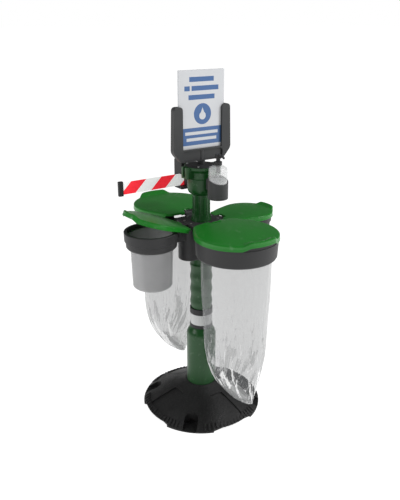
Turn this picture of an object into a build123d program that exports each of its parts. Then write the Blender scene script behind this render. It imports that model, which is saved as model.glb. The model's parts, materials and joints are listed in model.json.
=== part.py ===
from build123d import *
import os
from math import cos, sin, radians

os.makedirs("parts", exist_ok=True)

# A free-standing waste and hygiene station: one post on a rubber foot, four lidded holders
# round a hub, and a head with a belt cassette, a pump bottle and a sign.
# Millimetres. +Z is up, the origin is on the floor under the post, the sign faces -Y.

# ---------------------------------------------------------------- driving sizes
front, back, left, right = -90, 90, 180, 0  # directions of the four holders, degrees from +X

base_radius = 263
base_rim = 14  # height of the foot's outer edge
rim_slope = 10  # width of the rounded edge
base_top = 109  # height where the post leaves the foot
base_arch = 12  # gap under the rim between the four feet
grip_radius = 30  # hand grips cut in the rim
grip_depth = 43  # from the edge in to the middle of a grip's round end
grip_floor = 5

tube_radius = 20  # steel tube that ties foot, hub and head together
tube_wall = 3
tube_gap = 0.3  # plastic sections slide over the tube
plate_radius = 120  # steel disc under the foot
plate_thick = 8

post_radius = 64
post_sink = 9  # depth of the post's seat in the foot
post_straight = 231  # straight wall above the foot
shoulder = 40
neck_radius = 43
neck_length = 90
shell_wall = 4
collar_wall = 5.9
collar_low = 15
collar_high = 26
band_wall = 4.3
sleeve_gap = 0.1  # collars and band on the neck

wave_step = 3  # corrugated wall's middle outside the neck
wave_depth = 2
wave_length = 57.5
wave_count = 4

hub_height = 146
lobe_centre = 60
lobe_radius = 45
deck_half = 80  # half side of the square top plate
deck_corner = 22
deck_thick = 18

big_reach = 243  # post axis to the centre of a bag ring
big_radius = 157
big_height = 82
big_bore = 138
small_reach = 236  # post axis to the centre of a cup ring
small_radius = 101
small_height = 67
small_bore = 89
ring_draft = 3.5  # how much a ring widens to its top
rim_step = 2  # ring's upper rim inside the lid's skirt

big_lid_radius = 163
big_lid_skirt = 21
big_lid_crown = 8  # height of the dome
small_lid_radius = 112
small_lid_skirt = 19
small_lid_crown = 6
lid_wall = 3
lid_back = 88  # post axis to a lid's straight back edge
tab_angle = 56
tab_rise = 16
tab_flare = 9

pin_reach = 98  # post axis to the hinge pins
pin_radius = 2.5
pin_length = 72
hinge_gap = 0.06
knuckle_radius = 6
knuckle_half = 20
ear_width = 10
ajar = 18  # degrees that the left lid stands open

bag_length = 667
bag_wall = 1.2
bag_gap = 0.3
bag_foot_radius = 122  # half length of the bottom weld
clamp_wall = 4

cup_height = 215
cup_radius = 86
cup_draft = 6
cup_wall = 2.5

column_radius = 36.6
column_foot = 42
column_height = 110
flute_radius = 2.5
flute_count = 16

head_radius = 56
head_taper = 28
head_straight = 82
flange_radius = 69
flange_height = 8
head_wall = 4
ear_reach = 82
ear_half = 24
cap_height = 19
boss_radius = 15

pole_radius = 9
pole_gap = 0.06
pole_depth = 45  # length of pole inside the cap's socket
holder_lift = 2  # gap between cap boss and sign holder
holder_plate = 48  # height of the holder's lower plate
holder_height = 213
holder_half = 134
holder_top_half = 129
window_half = 91
holder_depth = 24
panel_width = 210  # A4 sheet
panel_height = 297
panel_tail = 6  # part of the panel that stands in the holder's slot
panel_thick = 5
panel_gap = 0.4
print_thick = 0.4

bottle_reach = 116
bottle_radius = 37
bottle_height = 110
bottle_wall = 1.2
bottle_gap = 0.5
holder_wall = 2.6
holder_floor = 4
bracket_back = 84  # height of the bottle cup at its back
bracket_front = 61  # and at its front
bracket_base = 103  # depth of the bottle cup's floor below the head's top
neck_bore = 11
pump_travel = 10
collar_top_gap = 10
nozzle_reach = 38

belt_reach = 122  # post axis to the belt's plane
belt_width = 50
belt_thick = 1
belt_out = 290  # post axis to the end clip's inner face
belt_top_drop = 56  # belt's top edge below the head's top
roll_radius = 16
spool_core = 7
shaft_radius = 3
shaft_gap = 0.06
case_half = 32
jaw_high = 56
jaw_low = 10
clip_height = 58
clip_width = 20
clip_depth = 16

# ---------------------------------------------------------------- heights that follow
sleeve_bore = neck_radius + sleeve_gap
wave_mean = neck_radius + wave_step
collar_radius = sleeve_bore + collar_wall
band_radius = sleeve_bore + band_wall
z_post = base_top - post_sink
z_shoulder = base_top + post_straight
z_neck = z_shoulder + shoulder
z_wave = z_neck + neck_length
z_hub = z_wave + wave_length * wave_count
z_deck = z_hub + hub_height
z_column = z_deck + deck_thick
z_head = z_column + column_height
z_barrel = z_head + head_taper
z_flange = z_barrel + head_straight
z_cap = z_flange + flange_height
z_holder = z_cap + cap_height + holder_lift
z_lip = z_holder + holder_plate

z_big_top = z_deck + 24  # top of the bag rings' rims
z_big_lid = z_big_top - 11  # lower edge of the big lids' skirts
z_big_pin = z_deck + 22
z_small_top = z_deck + 16
z_small_lid = z_small_top - 15
z_small_pin = z_deck + 10

tube_bore = tube_radius + tube_gap


# ---------------------------------------------------------------- planes
def flat(angle, z=0.0):
    """A level plane whose x points from the post axis towards one holder."""
    a = radians(angle)
    return Plane(origin=(0, 0, z), x_dir=(cos(a), sin(a), 0), z_dir=(0, 0, 1))


def upright(angle, reach=0.0, turn=0.0):
    """A standing plane: x runs outwards from a point `reach` along `angle`, y is up."""
    a = radians(angle)
    b = radians(angle + turn)
    return Plane(
        origin=(reach * cos(a), reach * sin(a), 0),
        x_dir=(cos(b), sin(b), 0),
        z_dir=(sin(b), -cos(b), 0),
    )


def facing(angle, reach):
    """A standing plane that looks outwards along `angle`; its x runs sideways, y is up."""
    a = radians(angle)
    return Plane(
        origin=(reach * cos(a), reach * sin(a), 0),
        x_dir=(-sin(a), cos(a), 0),
        z_dir=(cos(a), sin(a), 0),
    )


def standing_axis(angle, reach):
    """The vertical axis through a point `reach` along `angle`."""
    a = radians(angle)
    return Axis((reach * cos(a), reach * sin(a), 0), (0, 0, 1))


def save(piece, name):
    """Label a finished piece and write it."""
    piece.label = name
    export_step(piece, "parts/" + name + ".step")


# ---------------------------------------------------------------- foot
def dome(drop):
    """The foot's body, with its sloping top lowered by `drop`."""
    with BuildPart() as body:
        with BuildSketch(Plane.XZ):
            with BuildLine():
                rim_top = (base_radius - rim_slope, base_rim - drop)
                knee = (base_radius, 0.45 * (base_rim - drop))
                halfway = base_rim + 0.53 * (base_top - base_rim) - drop
                crown = (post_radius + 3, base_top - drop)
                Polyline((0, 0), (base_radius, 0), knee, rim_top)
                Spline(
                    rim_top,
                    (base_radius * 0.62, halfway),
                    (post_radius + 18, base_top - 8 - drop),
                    crown,
                )
                Polyline(crown, (0, base_top - drop), (0, 0))
            make_face()
        revolve(axis=Axis.Z)
    return body.part


panel_depth = 6
sunk_body = dome(panel_depth)
with BuildPart() as base:
    add(dome(0))
    # seat of the post, way of the tube and recess of the steel disc
    with BuildSketch(Plane.XY.offset(z_post)):
        Circle(post_radius + sleeve_gap)
    extrude(amount=base_top, mode=Mode.SUBTRACT)
    with BuildSketch():
        Circle(tube_bore)
    extrude(amount=base_top, mode=Mode.SUBTRACT)
    with BuildSketch():
        Circle(plate_radius + 1)
    extrude(amount=plate_thick + tube_gap, mode=Mode.SUBTRACT)
    # the rim is lifted off the floor between the four feet
    for angle in (front, back, left, right):
        with BuildSketch(flat(angle)):
            with BuildLine():
                low = (base_radius + 5) * cos(radians(22.5))
                wide = (base_radius + 5) * sin(radians(22.5))
                start = base_radius - 26
                Polyline((start, -wide * 0.9), (low, -wide), (base_radius + 30, 0))
                Polyline((base_radius + 30, 0), (low, wide), (start, wide * 0.9), (start, -wide * 0.9))
            make_face()
        extrude(amount=base_arch, mode=Mode.SUBTRACT)
        # shallow panel between two ribs, parallel to the sloping top
        with BuildPart(mode=Mode.PRIVATE) as panel:
            with BuildSketch(flat(angle)):
                with BuildLine():
                    Polyline(
                        (post_radius + 50, -30),
                        (base_radius - 30, -62),
                        (base_radius - 30, 62),
                        (post_radius + 50, 30),
                        close=True,
                    )
                make_face()
                fillet(vertices(), radius=8)
            extrude(amount=base_top)
            add(sunk_body, mode=Mode.SUBTRACT)
        add(panel.part, mode=Mode.SUBTRACT)
        # hand grip in each foot
        with BuildSketch(flat(angle + 45, grip_floor)):
            with Locations((base_radius - grip_depth, 0)):
                Circle(grip_radius)
            with Locations((base_radius, 0)):
                Rectangle(2 * grip_depth, 2 * grip_radius)
        extrude(amount=base_top, mode=Mode.SUBTRACT)
save(base.part, "base")

with BuildPart() as foot_plate:
    with BuildSketch():
        Circle(plate_radius)
    extrude(amount=plate_thick)
save(foot_plate.part, "foot_plate")

with BuildPart() as core_tube:
    with BuildSketch(Plane.XY.offset(plate_thick)):
        Circle(tube_radius)
        Circle(tube_radius - tube_wall, mode=Mode.SUBTRACT)
    extrude(amount=z_flange - 6 - plate_thick)
save(core_tube.part, "core_tube")

# ---------------------------------------------------------------- post
with BuildPart() as post_lower:
    with BuildSketch(Plane.XZ):
        with BuildLine():
            top_of_post = (neck_radius + 4, z_neck)
            Line((post_radius, z_post), (post_radius, z_shoulder))
            Spline(
                (post_radius, z_shoulder),
                top_of_post,
                tangents=((0, 1), (-0.35, 1)),
            )
            Polyline(top_of_post, (neck_radius, z_neck), (neck_radius, z_wave), (tube_bore, z_wave))
            inner = neck_radius - shell_wall
            Polyline(
                (tube_bore, z_wave),
                (tube_bore, z_wave - 8),
                (inner, z_wave - 8),
                (inner, z_neck - 4),
                (post_radius - shell_wall, z_shoulder - 4),
                (post_radius - shell_wall, z_post + 6),
                (tube_bore, z_post + 6),
                (tube_bore, z_post),
                (post_radius, z_post),
            )
        make_face()
    revolve(axis=Axis.Z)
save(post_lower.part, "post_lower")


def sleeve(name, z, height, outer):
    """A ring that slides over the neck between post and corrugated section."""
    with BuildPart() as ring:
        with BuildSketch(Plane.XY.offset(z)):
            Circle(outer)
            Circle(sleeve_bore, mode=Mode.SUBTRACT)
        extrude(amount=height)
        rims = ring.edges().filter_by(GeomType.CIRCLE).filter_by(lambda e: e.radius > outer - 0.1)
        chamfer(rims, length=0.6)
    save(ring.part, name)


band_height = neck_length - collar_low - collar_high
sleeve("lower_collar", z_neck, collar_low, collar_radius)
sleeve("reflective_band", z_neck + collar_low, band_height, band_radius)
sleeve("upper_collar", z_wave - collar_high, collar_high, collar_radius)

with BuildPart() as post_corrugated:
    with BuildSketch(Plane.XZ):
        with BuildLine():
            crest = wave_mean + wave_depth
            trough = wave_mean - wave_depth
            points = []
            for half in range(2 * wave_count + 1):
                r = trough if half % 2 == 0 else crest
                points.append((r, z_wave + half * wave_length / 2))
            Spline(*points, tangents=((0, 1), (0, 1)))
            inner = trough - shell_wall
            Polyline(
                (trough, z_hub),
                (tube_bore, z_hub),
                (tube_bore, z_hub - 6),
                (inner, z_hub - 6),
                (inner, z_wave + 6),
                (tube_bore, z_wave + 6),
                (tube_bore, z_wave),
                (trough, z_wave),
            )
        make_face()
    revolve(axis=Axis.Z)
save(post_corrugated.part, "post_corrugated")

# ---------------------------------------------------------------- hub
screw_shank = 2.5
ring_screw_side = 14
z_ring_screw = z_deck - 30
lobe_tip = lobe_centre + lobe_radius
with BuildPart() as hub_body:
    with BuildSketch(Plane.XY.offset(z_hub + 8)):
        SlotCenterToCenter(2 * lobe_centre, 2 * lobe_radius)
    extrude(amount=hub_height - 8)
    lower_edges = hub_body.edges().group_by(Axis.Z)[0]
    fillet(lower_edges, radius=6)
    with BuildSketch(Plane.XY.offset(z_hub)):
        Circle(lobe_radius - 2)
    extrude(amount=12)
    with BuildSketch(Plane.XY.offset(z_hub)):
        Circle(tube_bore)
    extrude(amount=hub_height, mode=Mode.SUBTRACT)
    # the lobes are hollow, closed by the deck
    with BuildSketch(Plane.XY.offset(z_hub + 8 + 6)):
        with Locations((lobe_centre + 2, 0), (-lobe_centre - 2, 0)):
            Circle(lobe_radius - 8)
        Circle(tube_bore + shell_wall, mode=Mode.SUBTRACT)
    extrude(amount=hub_height, mode=Mode.SUBTRACT)
    for angle in (left, right):
        with BuildSketch(facing(angle, lobe_centre)):
            with Locations((ring_screw_side, z_ring_screw), (-ring_screw_side, z_ring_screw)):
                Circle(screw_shank)
        extrude(amount=lobe_radius + 4, mode=Mode.SUBTRACT)
save(hub_body.part, "hub_body")

deck_screw_reach = 66
deck_screw_side = 24
pins = {front: z_big_pin, back: z_big_pin, left: z_small_pin, right: z_small_pin}
with BuildPart() as hub_deck:
    with BuildSketch(Plane.XY.offset(z_deck)):
        RectangleRounded(2 * deck_half, 2 * deck_half, deck_corner)
        Circle(tube_bore, mode=Mode.SUBTRACT)
    extrude(amount=deck_thick)
    chamfer(hub_deck.faces().sort_by(Axis.Z)[-1].outer_wire().edges(), length=2)
    for angle, z_pin in pins.items():
        # the middle knuckle of each hinge stands out from the deck
        with BuildSketch(upright(angle)):
            with Locations((pin_reach, z_pin)):
                Circle(knuckle_radius)
            with BuildLine():
                Polyline(
                    (deck_half - 12, z_deck + 4),
                    (pin_reach, z_pin - knuckle_radius),
                    (pin_reach, z_pin + knuckle_radius - 1),
                    (deck_half - 12, z_column - 3),
                    close=True,
                )
            make_face()
            with Locations((pin_reach, z_pin)):
                Circle(pin_radius, mode=Mode.SUBTRACT)
        extrude(amount=knuckle_half, both=True)
    for angle in (front, back, left, right):
        with BuildSketch(flat(angle, z_deck)):
            with Locations((deck_screw_reach, deck_screw_side), (deck_screw_reach, -deck_screw_side)):
                Circle(screw_shank)
        extrude(amount=deck_thick, mode=Mode.SUBTRACT)
save(hub_deck.part, "hub_deck")

with BuildPart() as deck_screws:
    for angle in (front, back):
        with BuildSketch(flat(angle, z_deck - 14)):
            with Locations((deck_screw_reach, deck_screw_side), (deck_screw_reach, -deck_screw_side)):
                Circle(screw_shank)
        extrude(amount=deck_thick + 14)
        with BuildSketch(flat(angle, z_column)):
            with Locations((deck_screw_reach, deck_screw_side), (deck_screw_reach, -deck_screw_side)):
                Circle(5)
        extrude(amount=1.6)
    for angle in (left, right):
        with BuildSketch(flat(angle, z_deck)):
            with Locations((deck_screw_reach, deck_screw_side), (deck_screw_reach, -deck_screw_side)):
                Circle(screw_shank)
        extrude(amount=deck_thick)
        with BuildSketch(flat(angle, z_column)):
            with Locations((deck_screw_reach, deck_screw_side), (deck_screw_reach, -deck_screw_side)):
                Circle(5)
        extrude(amount=1.6)
save(deck_screws.part, "deck_screws")

# screws from inside the lobes into the arms of the small rings
screw_inside = lobe_centre + 2 + lobe_radius - 8 - 4
with BuildPart() as ring_screws:
    for angle in (left, right):
        spots = ((ring_screw_side, z_ring_screw), (-ring_screw_side, z_ring_screw))
        with BuildSketch(facing(angle, screw_inside - 1)):
            with Locations(*spots):
                Circle(screw_shank)
        extrude(amount=lobe_tip + 12 - screw_inside)
        with BuildSketch(facing(angle, screw_inside - 5)):
            with Locations(*spots):
                Circle(4.5)
        extrude(amount=4)
save(ring_screws.part, "ring_screws")

with BuildPart() as hinge_pins:
    for angle, z_pin in pins.items():
        with BuildSketch(upright(angle)):
            with Locations((pin_reach, z_pin)):
                Circle(pin_radius)
        extrude(amount=pin_length / 2, both=True)
save(hinge_pins.part, "hinge_pins")


# ---------------------------------------------------------------- rings
def big_ring(name, angle):
    """A bag ring with its arm to the hub; its rim is cut away under the hinge."""
    z_low = z_big_top - big_height
    wide = big_radius + ring_draft
    with BuildPart() as ring:
        with BuildSketch(upright(angle, big_reach)):
            with BuildLine():
                Polyline(
                    (big_bore, z_low),
                    (big_radius - 3, z_low),
                    (big_radius, z_low + 5),
                    (wide, z_big_lid - 2),
                    (wide - rim_step, z_big_lid - 2),
                    (wide - rim_step, z_big_top),
                    (big_bore + 8, z_big_top),
                    (big_bore, z_big_top - 12),
                    close=True,
                )
            make_face()
        revolve(axis=standing_axis(angle, big_reach))
        with BuildSketch(flat(angle, z_low + 4)):
            with Locations(((big_reach - big_bore) / 2, 0)):
                Rectangle(big_reach - big_bore, 2 * 38)
        extrude(amount=z_deck - z_low - 4)
        # room inside the bore, beside the hub and under the hinge
        with BuildSketch(flat(angle, z_low)):
            with Locations((big_reach, 0)):
                Circle(big_bore)
        extrude(amount=big_height - 12, mode=Mode.SUBTRACT)
        with BuildSketch(Plane.XY.offset(z_hub)):
            SlotCenterToCenter(2 * lobe_centre, 2 * lobe_radius + 2 * sleeve_gap)
        extrude(amount=hub_height + deck_thick, mode=Mode.SUBTRACT)
        with BuildSketch(flat(angle, z_deck)):
            with Locations((pin_reach - 30, 0)):
                Rectangle(100, 2 * big_radius)
        extrude(amount=60, mode=Mode.SUBTRACT)
        with BuildSketch(flat(angle, z_deck - 14)):
            with Locations((deck_screw_reach, deck_screw_side), (deck_screw_reach, -deck_screw_side)):
                Circle(screw_shank)
        extrude(amount=14, mode=Mode.SUBTRACT)
    save(ring.part, name)


def small_ring(name, angle):
    """A cup ring with a wide upper band, a narrower lower band and its arm to the hub."""
    z_low = z_small_top - small_height
    z_band = z_low + 27
    wide = small_radius + ring_draft * 2
    with BuildPart() as ring:
        with BuildSketch(upright(angle, small_reach)):
            with BuildLine():
                Polyline(
                    (small_bore, z_low),
                    (small_radius - 4, z_low),
                    (small_radius, z_low + 5),
                    (small_radius + 1, z_band),
                    (wide - 1, z_band + 3),
                    (wide, z_small_top - 2),
                    (wide - 2, z_small_top),
                    (small_bore + 7, z_small_top),
                    (small_bore + 5, z_small_top - 20),
                    (small_bore, z_small_top - 20),
                    close=True,
                )
            make_face()
        revolve(axis=standing_axis(angle, small_reach))
        with BuildSketch(flat(angle, z_low + 4)):
            with Locations((small_reach / 2 - 10, 0)):
                Rectangle(small_reach - 20 - 60, 2 * 30)
        extrude(amount=z_deck - z_low - 6)
        with BuildSketch(flat(angle, z_low)):
            with Locations((small_reach, 0)):
                Circle(small_bore)
        extrude(amount=small_height - 20, mode=Mode.SUBTRACT)
        with BuildSketch(flat(angle, z_small_top - 20)):
            with Locations((small_reach, 0)):
                Circle(small_bore + 5)
        extrude(amount=20, mode=Mode.SUBTRACT)
        with BuildSketch(Plane.XY.offset(z_hub)):
            SlotCenterToCenter(2 * lobe_centre, 2 * lobe_radius + 2 * sleeve_gap)
        extrude(amount=hub_height + deck_thick, mode=Mode.SUBTRACT)
        with BuildSketch(facing(angle, lobe_centre)):
            with Locations((ring_screw_side, z_ring_screw), (-ring_screw_side, z_ring_screw)):
                Circle(screw_shank)
        extrude(amount=lobe_radius + 14, mode=Mode.SUBTRACT)
    save(ring.part, name)


big_ring("ring_front", front)
big_ring("ring_back", back)
small_ring("ring_left", left)
small_ring("ring_right", right)


# ---------------------------------------------------------------- bags, clamp bands and cups
def bag(name, angle):
    """A clear sack: round at the ring, flat and wide at the weld along its bottom."""
    z_mouth = z_big_top - 26
    mouth = big_bore - bag_gap
    with BuildPart() as sack:
        for inset, mode in ((0, Mode.ADD), (bag_wall, Mode.SUBTRACT)):
            levels = (
                (z_mouth + inset, mouth, mouth),
                (z_mouth - 60, mouth, mouth),
                (z_mouth - bag_length * 0.55, mouth - 8, mouth - 8),
                (z_mouth - bag_length * 0.8, mouth - 12, mouth - 34),
                (z_mouth - bag_length + 2 * inset, bag_foot_radius, 7),
            )
            for z, along, across in levels:
                with BuildSketch(flat(angle, z)):
                    with Locations((big_reach, 0)):
                        Ellipse(along - inset, across - inset)
            loft(mode=mode)
    save(sack.part, name)


def clamp_band(name, angle):
    """The band inside the bag's mouth that presses it against the ring."""
    outer = big_bore - bag_gap - bag_wall - bag_gap
    with BuildPart() as band:
        with BuildSketch(flat(angle, z_big_top - 26 - 34)):
            with Locations((big_reach, 0)):
                Circle(outer - 1)
                Circle(outer - 1 - clamp_wall, mode=Mode.SUBTRACT)
        extrude(amount=34)
        with BuildSketch(flat(angle, z_big_top - 26 + bag_gap)):
            with Locations((big_reach, 0)):
                Circle(big_bore - bag_gap)
                Circle(outer - 1 - clamp_wall, mode=Mode.SUBTRACT)
        extrude(amount=4)
        with BuildSketch(flat(angle, z_big_top - 26)):
            with Locations((big_reach, 0)):
                Circle(outer - 1)
                Circle(outer - 1 - clamp_wall, mode=Mode.SUBTRACT)
        extrude(amount=2)
    save(band.part, name)


def cup(name, angle):
    """A tapered cup that hangs by its flange on the ledge inside a small ring."""
    z_ledge = z_small_top - 20
    z_floor = z_ledge - cup_height
    low = cup_radius - cup_draft
    with BuildPart() as vessel:
        with BuildSketch(upright(angle, small_reach)):
            with BuildLine():
                Polyline(
                    (0, z_floor),
                    (low - 6, z_floor),
                    (low, z_floor + 6),
                    (cup_radius, z_ledge),
                    (small_bore + 4, z_ledge),
                    (small_bore + 4, z_ledge + 3),
                    (cup_radius - cup_wall, z_ledge + 3),
                    (low - cup_wall, z_floor + 8),
                    (low - cup_wall - 6, z_floor + cup_wall),
                    (0, z_floor + cup_wall),
                    close=True,
                )
            make_face()
        revolve(axis=standing_axis(angle, small_reach))
    save(vessel.part, name)


for side, angle in (("front", front), ("back", back)):
    bag("bag_" + side, angle)
    clamp_band("clamp_band_" + side, angle)
for side, angle in (("left", left), ("right", right)):
    cup("cup_" + side, angle)


# ---------------------------------------------------------------- lids
def lid(name, angle, reach, radius, skirt, crown, z_edge, z_pin, opened=0.0):
    """A domed petal lid with a turned-down skirt, two hinge ears and a raised thumb tab."""
    corner = radius * 0.3
    corner_u = lid_back + corner
    corner_v = radius * 0.43
    top = z_edge + skirt + crown
    dome = (radius**2) / (2 * crown)
    a = radians(angle)
    centre = Vector(reach * cos(a), reach * sin(a), top - dome)
    with BuildPart() as cover:
        for inset, mode in ((0, Mode.ADD), (lid_wall, Mode.SUBTRACT)):
            with BuildPart(mode=Mode.PRIVATE) as block:
                with BuildSketch(flat(angle, z_edge - (5 if inset else 0))):
                    with Locations((reach, 0)):
                        Circle(radius - inset)
                    with Locations((corner_u, corner_v), (corner_u, -corner_v)):
                        Circle(corner - inset)
                    make_hull()
                extrude(amount=skirt + crown + 10)
                with Locations(Location(centre)):
                    Sphere(dome - inset, mode=Mode.INTERSECT)
            add(block.part, mode=mode)
        # no skirt behind the hinge, and a notch for the deck's knuckle
        with BuildSketch(flat(angle, z_edge - 5)):
            with Locations((pin_reach - 48, 0)):
                Rectangle(100, 4 * radius)
        extrude(amount=skirt - lid_wall + 4, mode=Mode.SUBTRACT)
        with BuildSketch(flat(angle, z_edge)):
            with Locations((pin_reach - 10, 0)):
                Rectangle(36, 2 * knuckle_half + 4)
        extrude(amount=skirt + crown + 5, mode=Mode.SUBTRACT)
        # the thumb tab replaces the skirt at the outer end
        with BuildSketch(flat(angle, z_edge - 5)):
            with Locations((reach + radius, 0)):
                Rectangle(radius * 0.5, 2 * radius * sin(radians(tab_angle / 2)))
        extrude(amount=skirt - lid_wall - 4 + 5, mode=Mode.SUBTRACT)
        edge_top = z_edge + skirt
        with BuildSketch(upright(angle, reach, -tab_angle / 2)):
            with BuildLine():
                Polyline(
                    (radius - 26, edge_top - 2),
                    (radius - 2, edge_top + tab_rise - 3),
                    (radius + tab_flare - 3, edge_top + tab_rise - lid_wall),
                    (radius + tab_flare - 3, edge_top + tab_rise - 14),
                    (radius + tab_flare, edge_top + tab_rise - 14),
                    (radius + tab_flare, edge_top + tab_rise),
                    (radius - 4, edge_top + tab_rise),
                    (radius - 34, edge_top + 2),
                    (radius - 34, edge_top - 2),
                    close=True,
                )
            make_face()
        revolve(axis=standing_axis(angle, reach), revolution_arc=tab_angle)
        # hinge ears on both sides of the knuckle
        for offset in (knuckle_half + 4, -knuckle_half - 4 - ear_width):
            with BuildSketch(upright(angle).offset(offset)):
                with Locations((pin_reach, z_pin)):
                    Circle(knuckle_radius)
                with Locations((pin_reach, (z_pin + edge_top) / 2)):
                    Rectangle(2 * knuckle_radius, edge_top - z_pin)
                with Locations((pin_reach, z_pin)):
                    Circle(pin_radius + hinge_gap, mode=Mode.SUBTRACT)
            extrude(amount=ear_width)
    solid = cover.part
    if opened:
        pin = Axis(
            (pin_reach * cos(a), pin_reach * sin(a), z_pin),
            (sin(a), -cos(a), 0),
        )
        solid = solid.rotate(pin, opened)
    save(solid, name)


big = (big_reach, big_lid_radius, big_lid_skirt, big_lid_crown, z_big_lid, z_big_pin)
small = (small_reach, small_lid_radius, small_lid_skirt, small_lid_crown, z_small_lid, z_small_pin)
lid("lid_front", front, *big)
lid("lid_back", back, *big)
lid("lid_left", left, *small, opened=ajar)
lid("lid_right", right, *small)

# ---------------------------------------------------------------- upper column
with BuildPart() as column_upper:
    with BuildSketch(Plane.XZ):
        with BuildLine():
            Line((column_foot, z_column), (column_foot - 1, z_column + 6))
            Spline(
                (column_foot - 1, z_column + 6),
                (column_radius, z_column + 44),
                tangents=((-0.3, 1), (0, 1)),
            )
            Polyline(
                (column_radius, z_column + 44),
                (column_radius, z_head),
                (tube_bore, z_head),
                (tube_bore, z_head - 6),
                (column_radius - shell_wall, z_head - 6),
                (column_radius - shell_wall, z_column + 6),
                (tube_bore, z_column + 6),
                (tube_bore, z_column),
                (column_foot, z_column),
            )
        make_face()
    revolve(axis=Axis.Z)
    with BuildSketch(Plane.XY.offset(z_column + 30)):
        with PolarLocations(column_radius + 1, flute_count):
            Circle(flute_radius)
    extrude(amount=column_height - 30 - 8, mode=Mode.SUBTRACT)
save(column_upper.part, "column_upper")

# ---------------------------------------------------------------- head
nut_height = 12
z_cup = z_cap - bracket_base - 8
z_belt_top = z_cap - belt_top_drop
arm_screws = {front: (z_cup + 36, z_cup + 58), back: (z_belt_top + 10, z_belt_top + 26)}
with BuildPart() as head_barrel:
    with BuildSketch(Plane.XZ):
        with BuildLine():
            Spline(
                (column_radius + 1, z_head),
                (head_radius, z_barrel),
                tangents=((1, 0.5), (0, 1)),
            )
            Polyline(
                (head_radius, z_barrel),
                (head_radius, z_barrel + 40),
                (head_radius - 1.5, z_barrel + 42),
                (head_radius, z_barrel + 44),
                (head_radius, z_flange - 14),
                (flange_radius, z_flange - 2),
                (flange_radius, z_cap),
                (0, z_cap),
                (0, z_head),
                (column_radius + 1, z_head),
            )
        make_face()
    revolve(axis=Axis.Z)
    # receivers for a neighbour's belt clip, one on each side
    for angle in (left, right):
        with BuildSketch(flat(angle, z_cap - 44)):
            with Locations(((ear_reach + head_radius - 8) / 2, 0)):
                RectangleRounded(ear_reach - head_radius + 8, 2 * ear_half, 7)
        extrude(amount=44)
        with BuildSketch(flat(angle, z_cap - 38)):
            with Locations((flange_radius + 3, 0)):
                Rectangle(10, 30)
            with Locations((ear_reach, 0)):
                Rectangle(14, 12)
        extrude(amount=40, mode=Mode.SUBTRACT)
    # inside of the barrel, seat of the cap and way of the tube
    with BuildSketch(Plane.XZ):
        with BuildLine():
            Polyline(
                (0, z_head - 1),
                (tube_bore, z_head - 1),
                (tube_bore, z_barrel + 4),
                (head_radius - head_wall, z_barrel + 4),
                (head_radius - head_wall, z_flange - 12),
                (flange_radius - head_wall, z_flange),
                (flange_radius - head_wall, z_cap + 1),
                (0, z_cap + 1),
                close=True,
            )
        make_face()
    revolve(axis=Axis.Z, mode=Mode.SUBTRACT)
    for angle, screw_heights in arm_screws.items():
        with BuildSketch(facing(angle, head_radius - 20)):
            with Locations(*[(0, z) for z in screw_heights]):
                Circle(screw_shank)
        extrude(amount=30, mode=Mode.SUBTRACT)
save(head_barrel.part, "head_barrel")

with BuildPart() as bracket_screws:
    for angle, screw_heights in arm_screws.items():
        spots = [(0, z) for z in screw_heights]
        with BuildSketch(facing(angle, head_radius - head_wall)):
            with Locations(*spots):
                Circle(screw_shank)
        extrude(amount=18)
        with BuildSketch(facing(angle, head_radius - head_wall - 6)):
            with Locations(*spots):
                Circle(4.5)
        extrude(amount=5.2)
save(bracket_screws.part, "bracket_screws")

with BuildPart() as core_nut:
    with BuildSketch(Plane.XY.offset(z_barrel + 4)):
        RegularPolygon(31, 6)
        Circle(tube_radius, mode=Mode.SUBTRACT)
    extrude(amount=nut_height)
save(core_nut.part, "core_nut")

cap_radius = flange_radius - head_wall - 0.3
z_socket = z_cap - pole_depth
with BuildPart() as head_cap:
    with BuildSketch(Plane.XZ):
        with BuildLine():
            Polyline(
                (0, z_socket - 4),
                (tube_radius - tube_wall - 0.4, z_socket - 4),
                (tube_radius - tube_wall - 0.4, z_flange + 1),
                (cap_radius, z_flange + 1),
                (cap_radius, z_cap + 1),
                (boss_radius + 30, z_cap + 5),
                (boss_radius + 2, z_cap + 6),
                (boss_radius, z_cap + cap_height),
                (0, z_cap + cap_height),
                close=True,
            )
        make_face()
    revolve(axis=Axis.Z)
    with BuildSketch(Plane.XY.offset(z_socket)):
        Circle(pole_radius + pole_gap)
    extrude(amount=200, mode=Mode.SUBTRACT)
    with BuildSketch(Plane.XY.offset(z_flange)):
        with PolarLocations(cap_radius - 8, 4, start_angle=45):
            Circle(2)
    extrude(amount=30, mode=Mode.SUBTRACT)
save(head_cap.part, "head_cap")

with BuildPart() as cap_screws:
    with BuildSketch(Plane.XY.offset(z_flange + 1)):
        with PolarLocations(cap_radius - 8, 4, start_angle=45):
            Circle(2)
    extrude(amount=6)
    with BuildSketch(Plane.XY.offset(z_flange + 7)):
        with PolarLocations(cap_radius - 8, 4, start_angle=45):
            Circle(2)
    extrude(amount=z_cap + 4 - z_flange - 7)
    with BuildSketch(Plane.XY.offset(z_cap + 4)):
        with PolarLocations(cap_radius - 8, 4, start_angle=45):
            Circle(4)
    extrude(amount=2)
save(cap_screws.part, "cap_screws")

# ---------------------------------------------------------------- sign
with BuildPart() as sign_pole:
    with BuildSketch(Plane.XY.offset(z_socket)):
        Circle(pole_radius)
    extrude(amount=z_lip - panel_tail - 2 - z_socket)
save(sign_pole.part, "sign_pole")

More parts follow.
